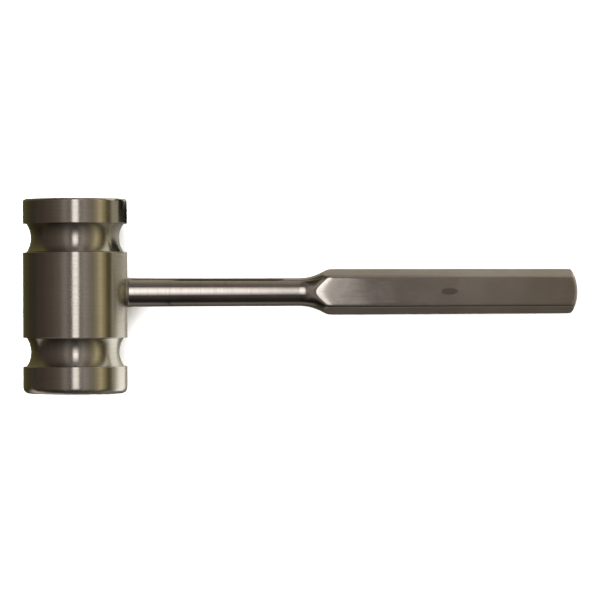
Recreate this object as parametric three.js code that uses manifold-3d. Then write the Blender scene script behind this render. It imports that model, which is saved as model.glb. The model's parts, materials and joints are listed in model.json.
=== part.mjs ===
// A solid steel bone mallet, lying on its side as it rests on a table.
// Millimetres, +Z up, table at Z = 0. +X runs from the head to the butt, and the head's axis is Y.
// The pieces are built around the centre of the head, with the handle along +X. Then the whole
// mallet is tipped about Y until the butt of the grip touches the table too.
import * as THREE from "three";
import { mergeVertices } from "three/addons/utils/BufferGeometryUtils.js";
import Module from "manifold-3d";

const wasm = await Module();
wasm.setup();

// Driving dimensions: head
const headRadius = 20;
const barrelLength = 32.8;
const barrelEdgeBreak = 0.2;
const grooveWidth = 10.9;
const grooveShoulder = 1.3; // the square step on each side of a groove
const grooveDepth = 3.05; // at the middle of its cove
const frontFlange = 9.6;
const frontEdgeRadius = 0.9;
const backFlange = 10.5;
const backEdgeRadius = 2.2;

// Driving dimensions: what holds the head together
const spigotRadius = 6;
const spigotLength = 8;
const spigotChamfer = 0.5;
const tenonRadius = 4.5;
const tenonReach = 10; // past the head's axis
const tenonChamfer = 0.5;
const pinRadius = 2;
const pinChamfer = 0.4;
const pinFront = 8;
const pinBack = -5.8;
const weldLeg = 1;
const weldLip = 0.15; // thickness of its thin edges

// Driving dimensions: handle, measured along it from the head's axis
const handleOffset = 1.35; // from the middle of the head's length, towards the front
const neckRadiusAtHead = 5.55;
const neckRadiusAtFlare = 5.4;
const flareStart = 86;
const flareRadius = 18.9;
const gripThickness = 12.6;
const gripFlatWidth = 11.6;
const gripWidthAtNeck = 17.8;
const gripWidthAtButt = 17.3;
const barRadius = 9.2; // before the six flats are cut
const buttDomeRadius = 14.5;
const buttTip = 194.1;

// Clearance between neighbouring pieces, and how finely round shapes are faceted
const gap = 0.3;
const headSegments = 72;
const handleSegments = 72;
const boreSegments = 36;
const arcSteps = 8;
const edgeSteps = 4;
const weldSections = 36;
const weldSteps = 4;

// Lengths that follow from them
const headLength = frontFlange + backFlange + 2 * grooveWidth + barrelLength;
const frontFaceY = headLength / 2;
const backFaceY = -headLength / 2;
const barrelFrontY = frontFaceY - frontFlange - grooveWidth;
const barrelBackY = backFaceY + backFlange + grooveWidth;

const steel = (color, roughness) =>
  new THREE.MeshStandardMaterial({ color, roughness, metalness: 1 });

// Points along a circular arc, both ends included.
function arc(centreX, centreY, radius, from, to, steps = arcSteps) {
  return Array.from({ length: steps + 1 }, (_, i) => {
    const angle = from + ((to - from) * i) / steps;
    return [centreX + radius * Math.cos(angle), centreY + radius * Math.sin(angle)];
  });
}

// A solid of revolution around Y, from [radius, height] points that go up from axis to axis.
function turned(profile, segments) {
  const points = profile.map(([radius, height]) => new THREE.Vector2(radius, height));
  return new THREE.LatheGeometry(points, segments);
}

// A plain round bar around Y.
function bar(radius, from, to, segments = boreSegments) {
  return turned([[0, from], [radius, from], [radius, to], [0, to]], segments);
}

// Turns a geometry built around Y so that it lies along X, level with the handle.
function alongHandle(geometry) {
  return geometry.rotateZ(-Math.PI / 2).translate(0, handleOffset, 0);
}

// A closed geometry as a solid that can be joined and cut.
function solid(geometry) {
  const bare = geometry.clone();
  bare.deleteAttribute("normal");
  bare.deleteAttribute("uv");
  const merged = mergeVertices(bare);
  return new wasm.Manifold(
    new wasm.Mesh({
      numProp: 3,
      vertProperties: new Float32Array(merged.attributes.position.array),
      triVerts: new Uint32Array(merged.index.array),
    }),
  );
}

// A named mesh from a solid.
function piece(name, shape, material) {
  const { numProp, vertProperties, triVerts } = shape.getMesh();
  const geometry = new THREE.BufferGeometry();
  geometry.setAttribute("position", new THREE.BufferAttribute(vertProperties, numProp));
  geometry.setIndex(new THREE.BufferAttribute(triVerts, 1));
  geometry.computeVertexNormals();
  const mesh = new THREE.Mesh(geometry, material);
  mesh.name = name;
  return mesh;
}

// The barrel, with a socket in each end for a spigot, a cross socket for the tenon and a pin hole.
function headBarrel() {
  const edge = headRadius - barrelEdgeBreak;
  const outside = turned(
    [
      [0, barrelBackY],
      [edge, barrelBackY],
      [headRadius, barrelBackY + barrelEdgeBreak],
      [headRadius, barrelFrontY - barrelEdgeBreak],
      [edge, barrelFrontY],
      [0, barrelFrontY],
    ],
    headSegments,
  );
  const socketRadius = spigotRadius + gap;
  const socketDepth = spigotLength + gap;
  const frontSocket = bar(socketRadius, barrelFrontY - socketDepth, barrelFrontY + 1);
  const backSocket = bar(socketRadius, barrelBackY - 1, barrelBackY + socketDepth);
  const crossSocket = alongHandle(bar(tenonRadius + gap, -tenonReach - gap, headRadius + 1));
  const pinHole = bar(pinRadius + gap, pinBack - gap, barrelFrontY - socketDepth + 1);
  return solid(outside)
    .subtract(solid(frontSocket))
    .subtract(solid(backSocket))
    .subtract(solid(crossSocket))
    .subtract(solid(pinHole));
}

// One striking end, from its spigot at negative heights up to its striking face. Height 0 is the
// barrel's end, and the shoulder stands a gap away from it.
function strikingEnd(flange, edgeRadius) {
  const faceHeight = grooveWidth + flange;
  const shoulderRadius = headRadius - grooveShoulder;
  const sagitta = grooveDepth - grooveShoulder;
  const coveRadius = (grooveWidth ** 2 / 4 + sagitta ** 2) / (2 * sagitta);
  const halfCove = Math.asin(grooveWidth / 2 / coveRadius);
  const coveCentre = headRadius - grooveDepth + coveRadius;
  const cove = arc(coveCentre, grooveWidth / 2, coveRadius, Math.PI + halfCove, Math.PI - halfCove);
  const aboveGap = cove.filter(([, height]) => height > gap);
  return turned(
    [
      [0, -spigotLength],
      [spigotRadius - spigotChamfer, -spigotLength],
      [spigotRadius, spigotChamfer - spigotLength],
      [spigotRadius, gap],
      [shoulderRadius, gap],
      ...aboveGap,
      [headRadius, grooveWidth],
      ...arc(headRadius - edgeRadius, faceHeight - edgeRadius, edgeRadius, 0, Math.PI / 2, edgeSteps),
      [0, faceHeight],
    ],
    headSegments,
  );
}

// The bar the grip is cut from: six flat sides, with a wide flat above and below.
function gripPrism() {
  const outline = new THREE.Shape([
    new THREE.Vector2(gripWidthAtNeck / 2, 0),
    new THREE.Vector2(gripFlatWidth / 2, gripThickness / 2),
    new THREE.Vector2(-gripFlatWidth / 2, gripThickness / 2),
    new THREE.Vector2(-gripWidthAtNeck / 2, 0),
    new THREE.Vector2(-gripFlatWidth / 2, -gripThickness / 2),
    new THREE.Vector2(gripFlatWidth / 2, -gripThickness / 2),
  ]);
  const start = headRadius / 2;
  const prism = new THREE.ExtrudeGeometry(outline, {
    depth: buttTip + 1 - start,
    bevelEnabled: false,
  });
  // The outline's X and Y become the handle's Y and Z, and the prism runs along X.
  const turn = new THREE.Matrix4().makeBasis(
    new THREE.Vector3(0, 1, 0),
    new THREE.Vector3(0, 0, 1),
    new THREE.Vector3(1, 0, 0),
  );
  prism.applyMatrix4(turn).translate(start, 0, 0);
  // Its width narrows evenly from the neck to the butt.
  const narrowing = gripWidthAtButt / gripWidthAtNeck - 1;
  const positions = prism.attributes.position;
  for (let i = 0; i < positions.count; i += 1) {
    const along = (positions.getX(i) - flareStart) / (buttTip - flareStart);
    positions.setY(i, positions.getY(i) * (1 + narrowing * along));
  }
  return prism.translate(0, handleOffset, 0);
}

// The handle: a turned bar with six flats on the grip, a neck that meets the barrel along a
// saddle, and a tenon with a cross hole for the lock pin.
function handle() {
  const flareSweep = Math.acos(1 - (barRadius - neckRadiusAtFlare) / flareRadius);
  const domeStart = Math.acos(barRadius / buttDomeRadius);
  const domeCentre = buttTip - buttDomeRadius;
  const flareCentre = neckRadiusAtFlare + flareRadius;
  const outside = turned(
    [
      [0, headRadius / 2],
      [neckRadiusAtHead, headRadius / 2],
      ...arc(flareCentre, flareStart, flareRadius, Math.PI, Math.PI - flareSweep),
      ...arc(0, domeCentre, buttDomeRadius, domeStart, Math.PI / 2),
    ],
    handleSegments,
  );
  const tenon = turned(
    [
      [0, -tenonReach],
      [tenonRadius - tenonChamfer, -tenonReach],
      [tenonRadius, tenonChamfer - tenonReach],
      [tenonRadius, headRadius + 2],
      [0, headRadius + 2],
    ],
    boreSegments,
  );
  const headSpace = bar(headRadius + gap, -headRadius, headRadius, headSegments);
  const pinHole = bar(pinRadius + gap, -headRadius, headRadius);
  return solid(alongHandle(outside))
    .intersect(solid(gripPrism()))
    .subtract(solid(headSpace))
    .add(solid(alongHandle(tenon)))
    .subtract(solid(pinHole));
}

// The pin that locks the tenon, along the head's axis.
function handleLockPin() {
  return turned(
    [
      [0, pinBack],
      [pinRadius - pinChamfer, pinBack],
      [pinRadius, pinBack + pinChamfer],
      [pinRadius, pinFront - pinChamfer],
      [pinRadius - pinChamfer, pinFront],
      [0, pinFront],
    ],
    boreSegments,
  );
}

// How far from the head's axis a point on the barrel lies along the handle, for a point at a given
// radius from the handle's axis and a given angle around it. The weld stands a gap off the barrel.
function barrelSurface(radius, around) {
  return Math.sqrt((headRadius + gap) ** 2 - (radius * Math.sin(around)) ** 2);
}

// A section through the weld as [distance along the handle, radius] points: its foot, its concave
// face from the barrel up to the neck, and its edge on the neck.
function weldSection(around) {
  const innerRadius = neckRadiusAtHead + gap;
  const outerRadius = neckRadiusAtHead + weldLeg;
  const innerFoot = barrelSurface(innerRadius, around);
  const outerFoot = barrelSurface(outerRadius, around);
  const top = innerFoot - gap + weldLeg;
  const faceRise = top - outerFoot - weldLip;
  const faceReach = outerRadius - innerRadius - weldLip;
  const face = arc(0, 0, 1, 0, Math.PI / 2, weldSteps);
  return [
    [innerFoot, innerRadius],
    [outerFoot, outerRadius],
    ...face.map(([x, y]) => [top - faceRise * x, outerRadius - faceReach * y]),
    [top, innerRadius],
  ];
}

// The fillet ring around the neck, whose foot follows the round of the barrel.
function neckWeld() {
  const positions = [];
  const faces = [];
  for (let ring = 0; ring < weldSections; ring += 1) {
    const around = (2 * Math.PI * ring) / weldSections;
    const section = weldSection(around);
    const first = ring * section.length;
    const nextFirst = ((ring + 1) % weldSections) * section.length;
    section.forEach(([x, radius], point) => {
      positions.push(x, handleOffset + radius * Math.cos(around), radius * Math.sin(around));
      const next = (point + 1) % section.length;
      faces.push(first + point, nextFirst + point, first + next);
      faces.push(first + next, nextFirst + point, nextFirst + next);
    });
  }
  const geometry = new THREE.BufferGeometry();
  geometry.setAttribute("position", new THREE.Float32BufferAttribute(positions, 3));
  geometry.setIndex(faces);
  return geometry;
}

const headSteel = steel(0x8b857d, 0.32);
const handleSteel = steel(0x877f78, 0.35);
const front = strikingEnd(frontFlange, frontEdgeRadius).translate(0, barrelFrontY, 0);
const back = strikingEnd(backFlange, backEdgeRadius).rotateX(Math.PI).translate(0, barrelBackY, 0);

const mallet = new THREE.Group();
mallet.add(
  piece("head_barrel", headBarrel(), headSteel),
  piece("striking_end_front", solid(front), steel(0x8b857d, 0.3)),
  piece("striking_end_back", solid(back), steel(0x89837b, 0.3)),
  piece("handle", handle(), handleSteel),
  piece("handle_lock_pin", solid(handleLockPin()), steel(0x9a9a9a, 0.4)),
  piece("neck_weld", solid(neckWeld()), steel(0x7d766e, 0.4)),
);

// Tipped about the head's axis by the angle at which the lower edge of the butt, where the grip's
// flat meets the dome, reaches the table that the head lies on.
const buttEdgeX = buttTip - buttDomeRadius + Math.sqrt(buttDomeRadius ** 2 - gripThickness ** 2 / 4);
const buttEdgeReach = Math.hypot(buttEdgeX, gripThickness / 2);
const buttEdgeAngle = Math.atan2(gripThickness / 2, buttEdgeX);
mallet.rotation.y = Math.asin(headRadius / buttEdgeReach) - buttEdgeAngle;

// The origin is on the table, under the middle of the mallet's box.
const part = new THREE.Group();
part.add(mallet);
part.updateMatrixWorld(true);
const box = new THREE.Box3().setFromObject(mallet, true);
const middle = box.getCenter(new THREE.Vector3());
mallet.position.set(-middle.x, -middle.y, -box.min.z);

export default part;
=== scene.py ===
"""Looks of a solid steel bone mallet lying on a pale table, built around its CAD frame.

Metres, +Z up. The head's axis is along Y, and the handle runs towards +X, tipped down until
its butt touches the table.
"""

import json
import math

import bmesh
import bpy
from mathutils import Matrix, Vector


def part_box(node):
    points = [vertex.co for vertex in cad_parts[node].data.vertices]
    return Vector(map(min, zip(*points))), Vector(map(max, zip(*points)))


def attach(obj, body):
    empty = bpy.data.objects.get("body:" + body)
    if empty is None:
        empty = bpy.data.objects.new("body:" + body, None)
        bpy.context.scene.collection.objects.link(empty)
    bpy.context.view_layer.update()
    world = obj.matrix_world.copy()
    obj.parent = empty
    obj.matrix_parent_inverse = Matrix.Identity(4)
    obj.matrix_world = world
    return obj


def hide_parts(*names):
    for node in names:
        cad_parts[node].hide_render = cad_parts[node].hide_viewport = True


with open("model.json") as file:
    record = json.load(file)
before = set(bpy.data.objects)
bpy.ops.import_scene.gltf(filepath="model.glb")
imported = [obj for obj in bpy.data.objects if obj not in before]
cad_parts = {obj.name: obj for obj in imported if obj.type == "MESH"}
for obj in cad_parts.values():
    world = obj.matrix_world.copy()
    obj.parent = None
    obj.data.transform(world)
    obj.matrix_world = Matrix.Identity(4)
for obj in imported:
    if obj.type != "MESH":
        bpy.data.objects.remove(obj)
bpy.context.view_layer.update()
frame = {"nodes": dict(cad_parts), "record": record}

MM = 0.001

# Head: shapes between the places that the CAD boxes give
SPIGOT_RADIUS = 6 * MM
SPIGOT_LENGTH = 8 * MM
SOCKET_CLEARANCE = 0.3 * MM
GROOVE_WIDTH = 10.9 * MM
GROOVE_SHOULDER = 1.3 * MM
GROOVE_DEPTH = 3.05 * MM
JOINT_LINE = 0.1 * MM  # the fine line where a striking end meets the barrel
BARREL_EDGE = 0.25 * MM
GROOVE_EDGE = 0.3 * MM
FRONT_EDGE = 1.1 * MM
BACK_EDGE = 2.4 * MM

# Handle, measured along it from the head's axis
NECK_START = 18 * MM
NECK_RADIUS_AT_HEAD = 5.55 * MM
NECK_RADIUS_AT_FLARE = 5.4 * MM
FLARE_START = 86 * MM
FLARE_RADIUS = 18.9 * MM
BAR_RADIUS = 12 * MM  # wider than the grip, so the flats always cut through it
GRIP_HALF_THICKNESS = 6.3 * MM
GRIP_HALF_FLAT = 5.8 * MM
GRIP_HALF_WIDTH = 8.9 * MM
GRIP_NARROWING = 0.028
DOME_RADIUS = 17 * MM
BUTT_TIP = 194.09 * MM
BUFFING = 22  # how sharply the grip's sides meet: a higher power leaves crisper edges

# Neck weld
WELD_LEG = 0.6 * MM
WELD_SINK = 0.15 * MM

# The etched oval on the upper flat
ETCH_AT = 143.8 * MM
ETCH_HALF_LENGTH = 3.4 * MM
ETCH_HALF_WIDTH = 1.4 * MM

# Machining marks, counted per metre around the axis and along it
MARKS_AROUND = 90
MARKS_ALONG = 3600
MARK_SKEW = 0.62  # turning marks follow the length plus this share of the radius
QUARTER_TURN = 0.25

HEAD_SEGMENTS = 256
HANDLE_SEGMENTS = 240
WELD_SEGMENTS = 128
WELD_STEPS = 12
COVE_STEPS = 40

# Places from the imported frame
barrel_low, barrel_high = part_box("head_barrel")
front_face_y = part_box("striking_end_front")[1].y
back_face_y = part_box("striking_end_back")[0].y
handle_low, handle_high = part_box("handle")
head_radius = (barrel_high.z - barrel_low.z) / 2
head_centre = (barrel_low + barrel_high) / 2
head_centre.y = 0
handle_y = (handle_low.y + handle_high.y) / 2
mounts = {mount["name"]: mount for mount in frame["record"]["mounts"]}
flat_axis = mounts["grip_upper_flat"]["axis"]
tip_down = math.atan2(flat_axis[0], flat_axis[2])

in_head = Matrix.Translation(head_centre)
on_handle = Matrix.Translation((head_centre.x, handle_y, head_centre.z)) @ Matrix.Rotation(
    tip_down, 4, "Y"
)


# ---------------------------------------------------------------- shapes


def arc(centre, radius, start, end, steps):
    """Points on a circular arc, both ends included. Angles are in radians."""
    points = []
    for i in range(steps + 1):
        angle = start + (end - start) * i / steps
        points.append(
            (centre[0] + radius * math.cos(angle), centre[1] + radius * math.sin(angle))
        )
    return points


def rounded(corners, steps=6, support=0.12 * MM):
    """A profile with its corners rounded. Corners are (radius, height, edge radius).

    Returns (radius, height, wear and shade) points. The wear-and-shade value is 1 on an outer
    edge, for edge wear, -1 in an inner corner, for painted shade, and 0 elsewhere. Straight
    stretches get support points, so that they shade flat.
    """
    profile = []
    for i, (r, h, edge) in enumerate(corners):
        here = Vector((r, h))
        if edge == 0 or i in (0, len(corners) - 1):
            profile.append((here, 0.0))
            continue
        before = Vector(corners[i - 1][:2]) - here
        after = Vector(corners[i + 1][:2]) - here
        half = before.angle(after) / 2
        cut = min(edge / math.tan(half), 0.48 * before.length, 0.48 * after.length)
        radius = cut * math.tan(half)
        towards = (before.normalized() + after.normalized()).normalized()
        middle = here + towards * radius / math.sin(half)
        first = here + before.normalized() * cut - middle
        last = here + after.normalized() * cut - middle
        turn = first.angle_signed(last)
        # Outer edges carry edge wear (1), and inner corners carry painted shade (-1)
        wear_and_shade = 1.0 if before.cross(after) < 0 else -1.0
        for k in range(steps + 1):
            at = middle + Matrix.Rotation(-turn * k / steps, 2) @ first
            profile.append((at, wear_and_shade if 0 < k < steps else wear_and_shade * 0.4))
    points = [profile[0]]
    for (start, start_wear_and_shade), (end, end_wear_and_shade) in zip(profile, profile[1:]):
        length = (end - start).length
        if length > 4 * support:
            points.append((start.lerp(end, support / length), 0.0))
            points.append((end.lerp(start, support / length), 0.0))
        points.append((end, end_wear_and_shade))
    return [(at.x, at.y, wear_and_shade) for at, wear_and_shade in points]


def make_piece(name, vertices, faces, wear_and_shade, place):
    """A smooth closed mesh with a wear-and-shade value on each vertex, put at its place in the
    frame.
    """
    mesh = bpy.data.meshes.new(name)
    mesh.from_pydata(vertices, [], faces)
    attribute = mesh.attributes.new("wear_and_shade", "FLOAT", "POINT")
    attribute.data.foreach_set("value", wear_and_shade)
    mesh.transform(place)
    shape = bmesh.new()
    shape.from_mesh(mesh)
    bmesh.ops.recalc_face_normals(shape, faces=shape.faces)
    for face in shape.faces:
        face.smooth = True
    shape.to_mesh(mesh)
    shape.free()
    piece = bpy.data.objects.new(name, mesh)
    bpy.context.scene.collection.objects.link(piece)
    return piece


def skin(rings, closed=False):
    """Quads between neighbouring rings of vertex numbers. Closed joins the last to the first."""
    faces = []
    pairs = list(zip(rings, rings[1:]))
    if closed:
        pairs.append((rings[-1], rings[0]))
    for lower, upper in pairs:
        count = max(len(lower), len(upper))
        for i in range(count):
            j = (i + 1) % count
            if len(lower) == 1:
                faces.append((lower[0], upper[j], upper[i]))
            elif len(upper) == 1:
                faces.append((lower[i], lower[j], upper[0]))
            else:
                faces.append((lower[i], lower[j], upper[j], upper[i]))
    return faces


def lathe(name, profile, place):
    """A solid of revolution around the local Y axis, from a profile that runs axis to axis."""
    vertices, wear_and_shade, rings = [], [], []
    for radius, height, worn_and_shaded in profile:
        count = 1 if radius < 1e-7 else HEAD_SEGMENTS
        rings.append(range(len(vertices), len(vertices) + count))
        for i in range(count):
            around = 2 * math.pi * i / HEAD_SEGMENTS
            vertices.append((radius * math.cos(around), height, radius * math.sin(around)))
            wear_and_shade.append(worn_and_shaded)
    return make_piece(name, vertices, skin(rings), wear_and_shade, place)


def head_barrel():
    """The barrel, with a blind socket in each end for a striking end's spigot."""
    back, front = barrel_low.y, barrel_high.y
    socket = SPIGOT_RADIUS + SOCKET_CLEARANCE
    depth = SPIGOT_LENGTH + SOCKET_CLEARANCE
    corners = [
        (0, back + depth, 0),
        (socket, back + depth, 0),
        (socket, back, 0),
        (head_radius, back, BARREL_EDGE),
        (head_radius, front, BARREL_EDGE),
        (socket, front, 0),
        (socket, front - depth, 0),
        (0, front - depth, 0),
    ]
    return lathe("head_barrel_visual", rounded(corners), in_head)


def striking_end(name, joint_y, face_y, edge):
    """A striking end from its spigot, through the cove of the groove, to its striking face."""
    outward = 1 if face_y > joint_y else -1
    length = abs(face_y - joint_y)
    shoulder = head_radius - GROOVE_SHOULDER
    sagitta = GROOVE_DEPTH - GROOVE_SHOULDER
    cove_radius = (GROOVE_WIDTH**2 / 4 + sagitta**2) / (2 * sagitta)
    half_cove = math.asin(GROOVE_WIDTH / 2 / cove_radius)
    centre = (head_radius - GROOVE_DEPTH + cove_radius, GROOVE_WIDTH / 2)
    cove = arc(centre, cove_radius, math.pi + half_cove, math.pi - half_cove, COVE_STEPS)
    corners = [
        (0, -SPIGOT_LENGTH, 0),
        (SPIGOT_RADIUS, -SPIGOT_LENGTH, 0.3 * MM),
        (SPIGOT_RADIUS, JOINT_LINE, 0),
        (shoulder - 0.1 * MM, JOINT_LINE, 0),
    ]
    corners += [(r, h, 0) for r, h in cove if h > JOINT_LINE + 0.1 * MM and h < GROOVE_WIDTH]
    corners += [
        (shoulder, GROOVE_WIDTH, 0.1 * MM),
        (head_radius, GROOVE_WIDTH, GROOVE_EDGE),
        (head_radius, length, edge),
        (0, length, 0),
    ]
    profile = [(r, joint_y + outward * h, worn_and_shaded) for r, h, worn_and_shaded in rounded(corners)]
    return lathe(name, profile, in_head)


def turned_radius(along):
    """Radius of the bar that the handle is turned from: neck, flare, bar and domed butt."""
    if along < FLARE_START:
        share = along / FLARE_START
        return NECK_RADIUS_AT_HEAD + (NECK_RADIUS_AT_FLARE - NECK_RADIUS_AT_HEAD) * share
    run = along - FLARE_START
    dome_run = along - (BUTT_TIP - DOME_RADIUS)
    radius = BAR_RADIUS
    if run < FLARE_RADIUS:
        flare = NECK_RADIUS_AT_FLARE + FLARE_RADIUS - math.sqrt(FLARE_RADIUS**2 - run**2)
        radius = min(radius, flare)
    if dome_run > 0:
        radius = min(radius, math.sqrt(max(DOME_RADIUS**2 - dome_run**2, 0)))
    return radius


def handle_radius(along, around):
    """The handle's radius, and how near that point is to an edge between two of its sides.

    The six flats and the turned bar meet in a soft minimum, as buffed edges do.
    """
    turned = turned_radius(along)
    if turned < 1e-6:
        return 0.0, 0.0
    narrow = 1 - GRIP_NARROWING * max(0, along - FLARE_START) / (BUTT_TIP - FLARE_START)
    half_width = GRIP_HALF_WIDTH * narrow * 2 ** (1 / BUFFING)
    half_flat = GRIP_HALF_FLAT * narrow
    slope = math.atan2(half_width - half_flat, GRIP_HALF_THICKNESS)
    reach = half_width * math.cos(slope)
    sides = [(math.pi / 2, GRIP_HALF_THICKNESS), (-math.pi / 2, GRIP_HALF_THICKNESS)]
    sides += [(side, reach) for side in (slope, -slope, math.pi - slope, slope - math.pi)]
    terms = [turned**-BUFFING]
    for facing, distance in sides:
        terms.append((max(math.cos(around - facing), 0) / distance) ** BUFFING)
    total = sum(terms)
    second = sorted(terms)[-2]
    return total ** (-1 / BUFFING), min(1.0, 2 * second / total)


def handle_stations():
    """Where the handle gets a ring of vertices along it, closest where it changes most."""
    neck_rings, flare_rings, grip_rings, rim_rings, dome_rings = 24, 75, 60, 50, 20
    flare_step, rim_step = 0.2 * MM, 0.16 * MM
    flare_end = FLARE_START + flare_step * flare_rings
    grip_end = BUTT_TIP - 10 * MM
    rim_end = grip_end + rim_step * rim_rings
    dome_centre = BUTT_TIP - DOME_RADIUS
    dome_start = math.asin((rim_end - dome_centre) / DOME_RADIUS)

    stations = []
    for i in range(neck_rings):
        stations.append(NECK_START + (FLARE_START - NECK_START) * i / neck_rings)
    for i in range(flare_rings):
        stations.append(FLARE_START + flare_step * i)
    for i in range(grip_rings):
        stations.append(flare_end + (grip_end - flare_end) * i / grip_rings)
    for i in range(rim_rings):
        stations.append(grip_end + rim_step * i)
    for i in range(dome_rings + 1):
        angle = dome_start + (math.pi / 2 - dome_start) * i / dome_rings
        stations.append(dome_centre + DOME_RADIUS * math.sin(angle))
    return stations


def handle():
    """Neck, flare, six-sided grip and domed butt in one piece, along the local X axis."""
    vertices, wear_and_shade, rings = [(NECK_START, 0, 0)], [0.0], [range(0, 1)]
    for along in handle_stations():
        if along > BUTT_TIP - 1e-7:
            rings.append(range(len(vertices), len(vertices) + 1))
            vertices.append((BUTT_TIP, 0, 0))
            wear_and_shade.append(0.0)
            continue
        rings.append(range(len(vertices), len(vertices) + HANDLE_SEGMENTS))
        for i in range(HANDLE_SEGMENTS):
            around = 2 * math.pi * i / HANDLE_SEGMENTS
            radius, worn_and_shaded = handle_radius(along, around)
            vertices.append((along, radius * math.cos(around), radius * math.sin(around)))
            wear_and_shade.append(worn_and_shaded)
    return make_piece("handle_visual", vertices, skin(rings), wear_and_shade, on_handle)


def neck_weld():
    """The ground fillet around the neck, whose foot follows the round of the barrel."""
    vertices, wear_and_shade, rings = [], [], []
    inner = NECK_RADIUS_AT_HEAD - WELD_SINK
    outer = NECK_RADIUS_AT_HEAD + WELD_LEG
    for i in range(WELD_SEGMENTS):
        around = 2 * math.pi * i / WELD_SEGMENTS

        def on_barrel(radius):
            return math.sqrt(head_radius**2 - (radius * math.sin(around)) ** 2)

        neck_top = on_barrel(NECK_RADIUS_AT_HEAD) + WELD_LEG
        foot = on_barrel(outer)
        section = [(foot - WELD_SINK, inner), (foot - WELD_SINK, outer)]
        for k in range(WELD_STEPS + 1):
            angle = math.pi / 2 * k / WELD_STEPS
            along = neck_top - (neck_top - foot) * math.cos(angle)
            section.append((along, outer - (outer - NECK_RADIUS_AT_HEAD) * math.sin(angle)))
        section.append((neck_top, inner))
        rings.append(range(len(vertices), len(vertices) + len(section)))
        for along, radius in section:
            vertices.append((along, radius * math.cos(around), radius * math.sin(around)))
            wear_and_shade.append(0.0)
    return make_piece("neck_weld_visual", vertices, skin(rings, closed=True), wear_and_shade, on_handle)


# ---------------------------------------------------------------- materials


class Nodes:
    """Short ways to add and link the nodes of a material or world."""

    def __init__(self, owner):
        owner.use_nodes = True
        self.tree = owner.node_tree
        self.tree.nodes.clear()

    def add(self, kind, inputs=None, **settings):
        node = self.tree.nodes.new(kind)
        for key, value in settings.items():
            setattr(node, key, value)
        for key, value in (inputs or {}).items():
            self.put(node.inputs[key], value)
        return node

    def put(self, socket, value):
        if isinstance(value, bpy.types.NodeSocket):
            self.tree.links.new(value, socket)
        else:
            socket.default_value = value

    def math(self, operation, a, b=0.0, clamp=False):
        node = self.add("ShaderNodeMath", {0: a, 1: b}, operation=operation, use_clamp=clamp)
        return node.outputs[0]

    def vector_math(self, operation, a, b):
        return self.add("ShaderNodeVectorMath", {0: a, 1: b}, operation=operation).outputs[0]

    def blend(self, share, a, b, kind="MIX"):
        node = self.add("ShaderNodeMix", data_type="RGBA", blend_type=kind)
        for socket, value in zip((node.inputs[0], node.inputs[6], node.inputs[7]), (share, a, b)):
            self.put(socket, value)
        return node.outputs[2]

    def split(self, vector):
        """The X, Y and Z of a vector."""
        return self.add("ShaderNodeSeparateXYZ", {0: vector}).outputs

    def spread(self, value, low, high, to_low=0.0, to_high=1.0, ease="SMOOTHSTEP"):
        """Maps low..high to to_low..to_high, with smooth ends unless told, and no further."""
        inputs = {"Value": value, 1: low, 2: high, 3: to_low, 4: to_high}
        return self.add("ShaderNodeMapRange", inputs, interpolation_type=ease).outputs[0]

    def noise(self, vector, scale, detail=3.0, roughness=0.5):
        stretched = self.add("ShaderNodeMapping", {"Vector": vector, "Scale": scale}).outputs[0]
        inputs = {"Vector": stretched, "Scale": 1, "Detail": detail, "Roughness": roughness}
        return self.add("ShaderNodeTexNoise", inputs).outputs[0]

    def ramp(self, value, stops):
        node = self.add("ShaderNodeValToRGB", {"Fac": value})
        ramp = node.color_ramp
        ramp.interpolation = "EASE"
        while len(ramp.elements) < len(stops):
            ramp.elements.new(1)
        for element, (position, colour) in zip(ramp.elements, stops):
            element.position = position
            element.color = (*colour, 1)
        return node.outputs[0]

    def emission(self, colour, strength):
        glow = self.add("ShaderNodeEmission", {"Color": (*colour, 1), "Strength": strength})
        return glow.outputs[0]

    def finish(self, surface, kind="ShaderNodeOutputMaterial"):
        self.add(kind, {"Surface": surface})


def turning_marks(n, here, axis):
    """Fine and broad marks around an axis. On a face across the axis they run as rings."""
    along_axis = [0, 0, 0]
    along_axis[axis] = 1
    radial = n.vector_math("MULTIPLY", here, [1 - share for share in along_axis])
    length = n.add("ShaderNodeVectorMath", {0: radial}, operation="LENGTH")
    skew = [MARK_SKEW * share for share in along_axis]
    outward = n.vector_math("MULTIPLY", skew, length.outputs["Value"])
    path = n.vector_math("ADD", here, outward)
    fine = [MARKS_AROUND] * 3
    fine[axis] = MARKS_ALONG
    broad = [count / 6 for count in fine]
    return n.noise(path, fine, 4, 0.6), n.noise(path, broad, 2, 0.5)


def etched_oval(n, here, etched_at):
    """1 inside the blank oval on the upper flat, and 0 outside it."""
    x, y, z = n.split(here)
    along = n.math("DIVIDE", n.math("SUBTRACT", x, etched_at), ETCH_HALF_LENGTH)
    across = n.math("DIVIDE", y, ETCH_HALF_WIDTH)
    squares = n.math("ADD", n.math("POWER", along, 2.0), n.math("POWER", across, 2.0))
    return n.math("MULTIPLY", n.spread(squares, 0.5, 1.2, 1.0, 0.0), n.spread(z, 0.0, MM))


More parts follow.
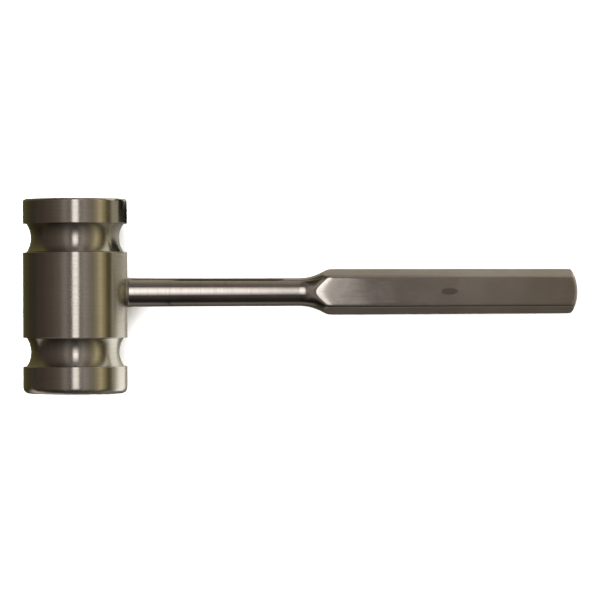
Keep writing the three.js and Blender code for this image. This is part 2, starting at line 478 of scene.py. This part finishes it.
def steel(name, light, dark, roughness, stretch, place, axis, brushed_from=None, etched_at=None):
    """Satin stainless steel with machining marks around one axis of a placement.

    Axis is 0 for its X and 1 for its Y. From brushed_from metres along X, the marks run
    lengthwise instead. A blank oval is etched on the upper flat, etched_at metres along X.
    """
    material = bpy.data.materials.new(name)
    n = Nodes(material)
    row = n.add("ShaderNodeTexCoord").outputs["Object"]
    inverse = {"Vector": row, "Location": place.translation, "Rotation": place.to_euler()}
    here = n.add("ShaderNodeMapping", inverse, vector_type="TEXTURE").outputs[0]
    offset = n.vector_math("SUBTRACT", row, place.translation)
    tangent = n.vector_math("CROSS_PRODUCT", offset, place.col[axis].to_3d())
    grain, rings = turning_marks(n, here, axis)
    twist = QUARTER_TURN
    if brushed_from is not None:
        brushed = n.spread(n.split(here)[0], brushed_from - 3 * MM, brushed_from + 3 * MM)
        lengthwise = n.noise(here, (45, 3000, 3000), 4, 0.6)
        difference = n.math("SUBTRACT", lengthwise, grain)
        grain = n.math("ADD", grain, n.math("MULTIPLY", brushed, difference))
        twist = n.math("MULTIPLY", n.math("SUBTRACT", 1.0, brushed), QUARTER_TURN)
        stretch = n.spread(brushed, 0.0, 1.0, stretch, 0.85)
    clouds = n.noise(here, (55, 40, 55), 3, 0.55)
    scuffed = n.spread(n.noise(here, (260, 1500, 420), 2, 0.5), 0.64, 0.72)
    # Edge wear on outer edges and painted shade in inner corners, read from the mesh
    worn_and_shaded = n.add("ShaderNodeAttribute", attribute_name="wear_and_shade").outputs["Fac"]
    patchy = n.spread(n.noise(here, (420, 420, 420), 3, 0.6), 0.3, 0.7, 0.45, 1.0)
    edge = n.math("MULTIPLY", n.math("MAXIMUM", worn_and_shaded, 0.0), patchy, clamp=True)
    # Inner corners of the turned profiles get painted shade, darker where shade would fall
    shaded_corner = n.math("MAXIMUM", n.math("MULTIPLY", worn_and_shaded, -1.0), 0.0)

    in_marks = (*(0.72 * c for c in dark[:3]), 1)
    colour = n.blend(n.spread(clouds, 0.3, 0.7), dark, light)
    colour = n.blend(n.spread(grain, 0.3, 0.7, 0.0, 0.22), colour, in_marks)
    colour = n.blend(n.math("MULTIPLY", edge, 0.55), colour, BURNISHED)
    # Painted shade in the inner corners
    colour = n.blend(n.math("MULTIPLY", shaded_corner, 0.6), colour, INNER_CORNER_SHADE)
    if etched_at is not None:
        etched = etched_oval(n, here, etched_at)
        colour = n.blend(n.math("MULTIPLY", etched, 0.7), colour, ETCHED)

    rough = n.spread(clouds, 0.25, 0.75, roughness - 0.025, roughness + 0.035)
    rough = n.math("ADD", rough, n.spread(grain, 0.3, 0.7, -0.02, 0.03))
    rough = n.math("ADD", rough, n.math("MULTIPLY", scuffed, 0.05))
    rough = n.math("SUBTRACT", rough, n.math("MULTIPLY", edge, 0.05))

    height = n.math("ADD", grain, n.math("MULTIPLY", rings, 0.8))
    bump = n.add("ShaderNodeBump", {"Strength": 0.25, "Distance": 0.004 * MM, "Height": height})
    shader = n.add(
        "ShaderNodeBsdfPrincipled",
        {
            "Base Color": colour,
            "Metallic": 1.0,
            "Roughness": rough,
            "Anisotropic": stretch,
            "Anisotropic Rotation": twist,
            "Tangent": tangent,
            "Normal": bump.outputs[0],
        },
    )
    n.finish(shader.outputs[0])
    return material


BURNISHED = (0.78, 0.76, 0.73, 1)
# The colour of the painted shade in inner corners
INNER_CORNER_SHADE = (0.09, 0.075, 0.06, 1)
ETCHED = (0.25, 0.215, 0.18, 1)

head_steel = steel(
    "head_steel",
    light=(0.60, 0.57, 0.53, 1),
    dark=(0.53, 0.50, 0.455, 1),
    roughness=0.22,
    stretch=0.8,
    place=in_head,
    axis=1,
)
handle_steel = steel(
    "handle_steel",
    light=(0.60, 0.565, 0.53, 1),
    dark=(0.52, 0.485, 0.44, 1),
    roughness=0.13,
    stretch=0.2,
    place=on_handle,
    axis=0,
    brushed_from=FLARE_START + 4 * MM,
    etched_at=ETCH_AT,
)
# The weld's steel is darker than the handle's, as painted shade where the neck meets the barrel
weld_steel = steel(
    "weld_steel",
    light=(0.52, 0.49, 0.45, 1),
    dark=(0.43, 0.40, 0.36, 1),
    roughness=0.3,
    stretch=0.5,
    place=on_handle,
    axis=0,
)
pin_steel = steel(
    "pin_steel",
    light=(0.62, 0.61, 0.60, 1),
    dark=(0.55, 0.54, 0.53, 1),
    roughness=0.3,
    stretch=0.5,
    place=in_head,
    axis=1,
)

# ---------------------------------------------------------------- the mallet

barrel = head_barrel()
front_end = striking_end("striking_end_front_visual", barrel_high.y, front_face_y, FRONT_EDGE)
back_end = striking_end("striking_end_back_visual", barrel_low.y, back_face_y, BACK_EDGE)
grip = handle()
weld = neck_weld()

for piece, node, slot, material in (
    (barrel, "head_barrel", "head_steel", head_steel),
    (front_end, "striking_end_front", "head_steel", head_steel),
    (back_end, "striking_end_back", "head_steel", head_steel),
    (grip, "handle", "handle_steel", handle_steel),
    (weld, "neck_weld", "weld_steel", weld_steel),
):
    piece.data.materials.append(material)
    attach(piece, "root")
    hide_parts(node)

pin = frame["nodes"]["handle_lock_pin"]
pin.data.materials.clear()
pin.data.materials.append(pin_steel)

# ---------------------------------------------------------------- studio


def card(name, corners, material):
    """A flat four-cornered board, as part of the studio."""
    mesh = bpy.data.meshes.new(name)
    mesh.from_pydata(corners, [], [(0, 1, 2, 3)])
    mesh.materials.append(material)
    board = bpy.data.objects.new(name, mesh)
    bpy.context.scene.collection.objects.link(board)
    return board


def level(x, y, z):
    """Corners of a level rectangle that spans two (low, high) pairs at one height."""
    return [(x[0], y[0], z), (x[1], y[0], z), (x[1], y[1], z), (x[0], y[1], z)]


def upright(x, y, z):
    """Corners of an upright rectangle at one x that spans two (low, high) pairs."""
    return [(x, y[0], z[0]), (x, y[1], z[0]), (x, y[1], z[1]), (x, y[0], z[1])]


def table_white():
    """Matt white laminate, with the faintest unevenness."""
    material = bpy.data.materials.new("table_white")
    n = Nodes(material)
    here = n.add("ShaderNodeTexCoord").outputs["Object"]
    cloud = n.noise(here, (9, 9, 9), 2, 0.5)
    colour = n.blend(cloud, (0.90, 0.90, 0.885, 1), (0.93, 0.93, 0.915, 1))
    shader = n.add("ShaderNodeBsdfPrincipled", {"Base Color": colour, "Roughness": 0.8})
    n.finish(shader.outputs[0])
    return material


def softbox_glow(left, right, near, far, strength):
    """Light that fades out towards its board's rim. Each side is (rim, width of the fade)."""
    material = bpy.data.materials.new("softbox_glow")
    n = Nodes(material)
    x, y, _ = n.split(n.add("ShaderNodeTexCoord").outputs["Object"])
    power = strength
    for along, (rim, fade), side in ((x, left, 1), (x, right, -1), (y, near, 1), (y, far, -1)):
        inside = n.spread(n.math("MULTIPLY", along, side), side * rim, side * rim + fade)
        power = n.math("MULTIPLY", power, inside)
    n.finish(n.emission((1.0, 0.955, 0.93), power))
    return material


def bounce_glow(near, far, top, strength):
    """Light from a board that fades out between two places along Y, and below its top."""
    material = bpy.data.materials.new("bounce_glow")
    n = Nodes(material)
    _, y, z = n.split(n.add("ShaderNodeTexCoord").outputs["Object"])
    along = n.spread(y, near, far, 1.0, 0.0)
    below = n.spread(z, top - BOUNCE_FADE, top, 1.0, 0.0)
    clear = n.add("ShaderNodeBsdfTransparent").outputs[0]
    glow = n.emission((1.0, 0.985, 0.89), strength)
    share = n.math("MULTIPLY", along, below)
    n.finish(n.add("ShaderNodeMixShader", {0: share, 1: clear, 2: glow}).outputs[0])
    return material


def even_glow(name, colour):
    """A board's own even light, however faint."""
    material = bpy.data.materials.new(name)
    n = Nodes(material)
    n.finish(n.emission(colour, 1.0))
    return material


def soft_glow(name, colour, strength):
    """A glow that fades out towards the rims, laid over whatever is behind its board."""
    material = bpy.data.materials.new(name)
    n = Nodes(material)
    power = strength
    for along in n.split(n.add("ShaderNodeTexCoord").outputs["Generated"]):
        from_middle = n.math("ABSOLUTE", n.math("SUBTRACT", along, 0.5))
        power = n.math("MULTIPLY", power, n.spread(from_middle, 0.25, 0.5, 1.0, 0.0))
    clear = n.add("ShaderNodeBsdfTransparent").outputs[0]
    glow = n.emission(colour, power)
    n.finish(n.add("ShaderNodeAddShader", {0: clear, 1: glow}).outputs[0])
    return material


def only_mirrored(board):
    """Steel mirrors this board, and nothing else sees it."""
    board.visible_camera = False
    board.visible_diffuse = False
    board.visible_shadow = False
    board.visible_transmission = False
    board.visible_volume_scatter = False


def lights_only(board, pieces):
    """The board's light reaches these pieces alone."""
    receivers = bpy.data.collections.new(board.name + "_pieces")
    for piece in pieces:
        receivers.objects.link(piece)
    board.light_linking.receiver_collection = receivers


def backdrop(radius, height, segments=64):
    """A pale round wall around the table, seen by the camera alone."""
    ring = []
    for i in range(segments):
        around = 2 * math.pi * i / segments
        ring.append((radius * math.cos(around), radius * math.sin(around)))
    vertices = [(x, y, z) for z in (0, height) for x, y in ring]
    faces = skin([range(segments), range(segments, 2 * segments)])
    mesh = bpy.data.meshes.new("backdrop")
    mesh.from_pydata(vertices, [], faces)
    mesh.materials.append(even_glow("backdrop", (1, 1, 0.995)))
    wall = bpy.data.objects.new("backdrop", mesh)
    bpy.context.scene.collection.objects.link(wall)
    wall.visible_diffuse = False
    wall.visible_glossy = False
    wall.visible_transmission = False
    wall.visible_volume_scatter = False
    wall.visible_shadow = False


floor = card("floor", level((-8, 8), (-8, 8), 0), table_white())
floor.visible_glossy = False
backdrop(radius=3.0, height=6.0)

# The softbox hangs level above the table
SOFTBOX_HEIGHT = 2.2
SOFTBOX_LEFT, SOFTBOX_RIGHT = -0.196, 0.346
SOFTBOX_NEAR, SOFTBOX_FAR = -1.27, 2.5
softbox = card(
    "softbox",
    level((SOFTBOX_LEFT, SOFTBOX_RIGHT), (SOFTBOX_NEAR, SOFTBOX_FAR), 0),
    softbox_glow(
        left=(SOFTBOX_LEFT, 0.045),
        right=(SOFTBOX_RIGHT, 0.03),
        near=(SOFTBOX_NEAR, 1.66),
        far=(SOFTBOX_FAR, 2.05),
        strength=2.05,
    ),
)
softbox.location.z = SOFTBOX_HEIGHT
softbox.visible_camera = False
softbox.visible_shadow = False

# A small upright board between the head and the grip brightens the head's right flank
BOUNCE_X = -50 * MM
BOUNCE_TOP = 31 * MM
BOUNCE_FADE = 14 * MM
bounce = card(
    "bounce",
    upright(BOUNCE_X, (-50 * MM, 24 * MM), (0, BOUNCE_TOP)),
    bounce_glow(-40 * MM, 14 * MM, BOUNCE_TOP, 1.35),
)
only_mirrored(bounce)
lights_only(bounce, (barrel, front_end, back_end))

# Boards that lie just above the table. The flags are dark, as the steel mirrors them at the
# head's far right.
BOARD_HEIGHT = 0.4 * MM
for name, x_span, y_span, shade in (
    ("flag_near", (-66 * MM, -6 * MM), (25 * MM, 37 * MM), 0.012),
    ("flag_middle", (-48 * MM, -6 * MM), (37 * MM, 50 * MM), 0.012),
    ("flag_far", (-48 * MM, 60 * MM), (50 * MM, 75 * MM), 0.07),
):
    dark = even_glow(name, (shade, shade, 0.7 * shade))
    only_mirrored(card(name, level(x_span, y_span, BOARD_HEIGHT), dark))

# Soft fills keep some of the steel from going black when it is seen from the side
NEAR_WALL_Y = -1.5
near_wall = [
    (-2.6, NEAR_WALL_Y, -1.0),
    (1.6, NEAR_WALL_Y, -1.0),
    (1.6, NEAR_WALL_Y, 2.6),
    (-2.6, NEAR_WALL_Y, 2.6),
]
left_wall = upright(-1.7, (-2.0, 3.2), (0.1, 3.6))
near_left = level((-220 * MM, -92 * MM), (-170 * MM, -45 * MM), BOARD_HEIGHT)
for name, corners, colour, strength, pieces in (
    ("handle_fill", left_wall, (0.40, 0.36, 0.32), 1.0, (grip, weld)),
    ("near_left_fill", near_left, (0.40, 0.375, 0.33), 1.3, (back_end,)),
    ("barrel_fill", near_wall, (0.30, 0.27, 0.23), 1.0, (barrel,)),
):
    fill = card(name, corners, soft_glow(name, colour, strength))
    only_mirrored(fill)
    lights_only(fill, pieces)


def greys(stops):
    return [(position, (shade, shade, shade)) for position, shade in stops]


# Colours of the room around the Y axis. 0 is 108 degrees to the left of straight up, 0.5 is
# straight up, and 1 is 108 degrees to the right.
ROOM_ABOVE = [
    (0.00, (0.060, 0.048, 0.036)),
    (0.13, (0.068, 0.053, 0.044)),
    (0.25, (0.098, 0.080, 0.062)),
    (0.34, (0.140, 0.118, 0.098)),
    (0.42, (0.300, 0.265, 0.240)),
    (0.46, (0.170, 0.147, 0.133)),
    (0.542, (0.115, 0.097, 0.090)),
    (0.547, (0.225, 0.195, 0.178)),
    (0.553, (0.195, 0.168, 0.150)),
    (0.556, (0.180, 0.150, 0.105)),
    (0.57, (0.230, 0.195, 0.180)),
    (0.61, (0.370, 0.330, 0.310)),
    (0.66, (0.270, 0.235, 0.205)),
    (0.70, (0.230, 0.200, 0.150)),
    (0.74, (0.340, 0.285, 0.190)),
    (0.785, (0.620, 0.540, 0.330)),
    (0.83, (0.330, 0.285, 0.155)),
    (0.875, (0.100, 0.080, 0.038)),
    (0.91, (0.100, 0.080, 0.045)),
    (0.94, (0.240, 0.210, 0.130)),
    (1.00, (0.460, 0.435, 0.340)),
]
# Below the horizon, from the left (0) to the right (1)
ROOM_BELOW = [
    (0.00, (0.050, 0.042, 0.028)),
    (0.20, (0.085, 0.080, 0.030)),
    (0.50, (0.260, 0.230, 0.195)),
    (0.80, (0.500, 0.480, 0.410)),
    (1.00, (0.400, 0.370, 0.280)),
]
# Both are shaded from the near side (0) to the far side (1)
SHADE_ABOVE = greys(
    [(0.00, 0.08), (0.075, 0.17), (0.125, 0.30), (0.20, 0.50), (0.28, 0.68), (0.50, 1), (1, 1)]
)
SHADE_BELOW = greys(
    [
        (0.00, 0.03),
        (0.04, 0.12),
        (0.10, 0.50),
        (0.25, 0.38),
        (0.40, 0.60),
        (0.50, 1.00),
        (0.80, 1.75),
        (1.00, 1.35),
    ]
)


def surroundings():
    """The room that the steel mirrors: dark to the left and near, bright to the right."""
    world = bpy.data.worlds.new("surroundings")
    n = Nodes(world)
    x, y, z = n.split(n.add("ShaderNodeTexCoord").outputs["Generated"])
    turn = n.math("DIVIDE", n.math("ARCTAN2", x, z), math.pi)
    across = n.spread(x, -1.0, 1.0, ease="LINEAR")
    away = n.spread(y, -1.0, 1.0, ease="LINEAR")

    above = n.ramp(n.spread(turn, -0.6, 0.6, ease="LINEAR"), ROOM_ABOVE)
    above = n.blend(1.0, above, n.ramp(away, SHADE_ABOVE), "MULTIPLY")
    aside = n.spread(n.math("ABSOLUTE", n.math("SUBTRACT", x, 0.1)), 0.06, 0.3)
    far_dusk = n.math("MULTIPLY", n.spread(y, 0.45, 0.95, 0.0, 0.6), aside)
    above = n.blend(far_dusk, above, (0.0, 0.0, 0.0, 1))

    below = n.ramp(across, ROOM_BELOW)
    below = n.blend(1.0, below, n.ramp(away, SHADE_BELOW), "MULTIPLY")
    nearest = n.spread(y, -0.9, -0.75, 1.0, 0.0)
    not_steep = n.spread(z, -0.55, -0.4)
    ahead = n.spread(n.math("ABSOLUTE", x), 0.25, 0.45, 1.0, 0.0)
    table_near = n.math("MULTIPLY", n.math("MULTIPLY", nearest, not_steep), ahead)
    below = n.blend(table_near, below, (0.20, 0.185, 0.16, 1))

    colour = n.blend(n.spread(z, -0.12, 0.03), below, above)
    glow = n.add("ShaderNodeBackground", {"Color": colour, "Strength": 1.07})
    n.finish(glow.outputs[0], "ShaderNodeOutputWorld")
    return world


scene = bpy.context.scene
scene.world = surroundings()

LAMP_SIDE = 4.5
LAMP_WATTS = 700
table_light = bpy.data.lights.new("table_light", "AREA")
table_light.shape = "RECTANGLE"
table_light.size = LAMP_SIDE
table_light.size_y = LAMP_SIDE
table_light.energy = LAMP_WATTS
table_lamp = bpy.data.objects.new("table_lamp", table_light)
table_lamp.location = (-0.8, 0.9, 3.2)
table_lamp.rotation_euler = (-table_lamp.location).to_track_quat("-Z", "Y").to_euler()
table_lamp.visible_glossy = False
scene.collection.objects.link(table_lamp)

# ---------------------------------------------------------------- camera

CAMERA_HEIGHT = 1.5  # above the head's centre
CAMERA_X = -0.53 * MM
CAMERA_Y = -1.77 * MM
CAMERA_ROLL = math.radians(-0.2)
VIEW_WIDTH = 230.2 * MM
camera_data = bpy.data.cameras.new("camera")
camera_data.lens = camera_data.sensor_width * CAMERA_HEIGHT / VIEW_WIDTH
camera = bpy.data.objects.new("camera", camera_data)
camera.location = (CAMERA_X, CAMERA_Y, head_centre.z + CAMERA_HEIGHT)
camera.rotation_euler = (0, 0, CAMERA_ROLL)
scene.collection.objects.link(camera)
scene.camera = camera
scene.view_settings.view_transform = "Standard"
